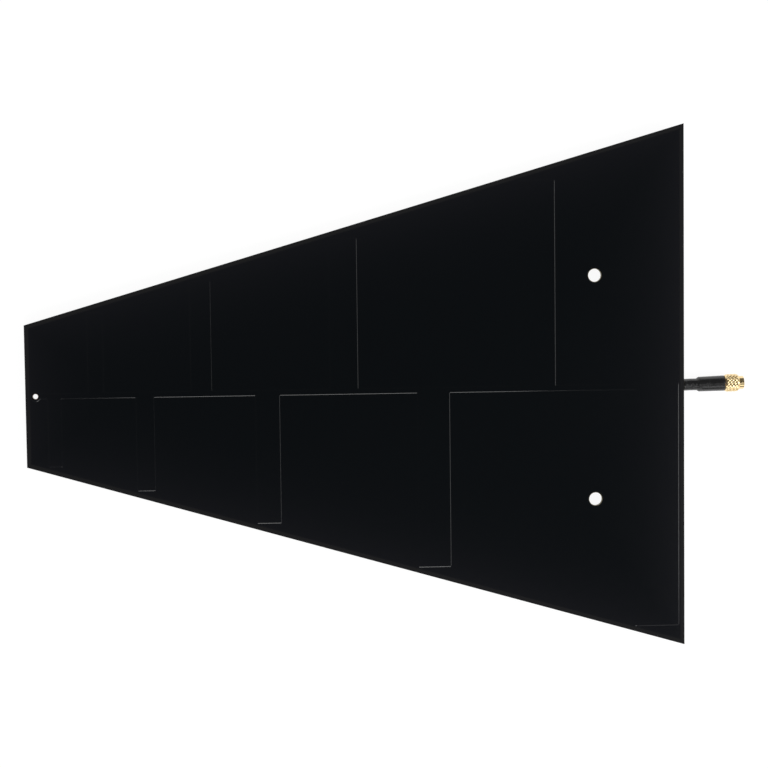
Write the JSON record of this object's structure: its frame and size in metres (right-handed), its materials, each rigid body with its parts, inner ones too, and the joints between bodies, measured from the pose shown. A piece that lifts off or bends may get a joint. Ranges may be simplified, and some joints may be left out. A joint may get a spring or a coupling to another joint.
{
  "type": "log periodic antenna",
  "caption": "Flat trapezoidal printed-board log periodic antenna with half-dipoles on both faces, a coax line along its back and a threaded coaxial plug at the wide end.",
  "frame": {"origin": "middle of the assembly's footprint, at the height of its lowest point, the underside of the coupling nut", "axes": "+X along the boom from the narrow edge to the wide edge and the plug, +Y across the board, +Z out of the face without the coax line"},
  "size_m": [0.3648, 0.267, 0.0091],
  "materials": {
    "laminate": "matte glass-epoxy laminate",
    "copper": "satin copper foil",
    "tin": "satin tin plate",
    "solder_mask": "black satin-gloss coat",
    "white_insulation": "waxy white",
    "silver": "silver plate",
    "solder": "bright solder",
    "black_sleeve": "satin black shrink sleeve",
    "gold": "bright gold plate",
    "spring_bronze": "plain spring bronze",
    "gasket_rubber": "matte red-brown silicone"
  },
  "bodies": {
    "board": {"laminate": "laminate", "front_copper": "copper", "back_copper": "copper", "feed_eyelet": "tin", "front_mask": "solder_mask", "back_mask": "solder_mask", "coax_shield": "tin", "coax_dielectric": "white_insulation", "centre_conductor": "silver", "feed_solder": "solder", "shield_solder": "solder", "cable_sleeve": "black_sleeve", "plug_boot": "black_sleeve", "plug_body": "gold", "plug_insulator": "white_insulation", "contact_pin": "gold", "retaining_ring": "spring_bronze", "gasket": "gasket_rubber"},
    "nut": {"coupling_nut": "gold"}
  },
  "joints": [
    {"name": "nut_spin", "type": "hinge", "parent": "board", "child": "nut", "pos_m": [0.15089, 0.00042, 0.00453], "axis": [0.9997, 0.0262, 0], "continuous": true}
  ]
}
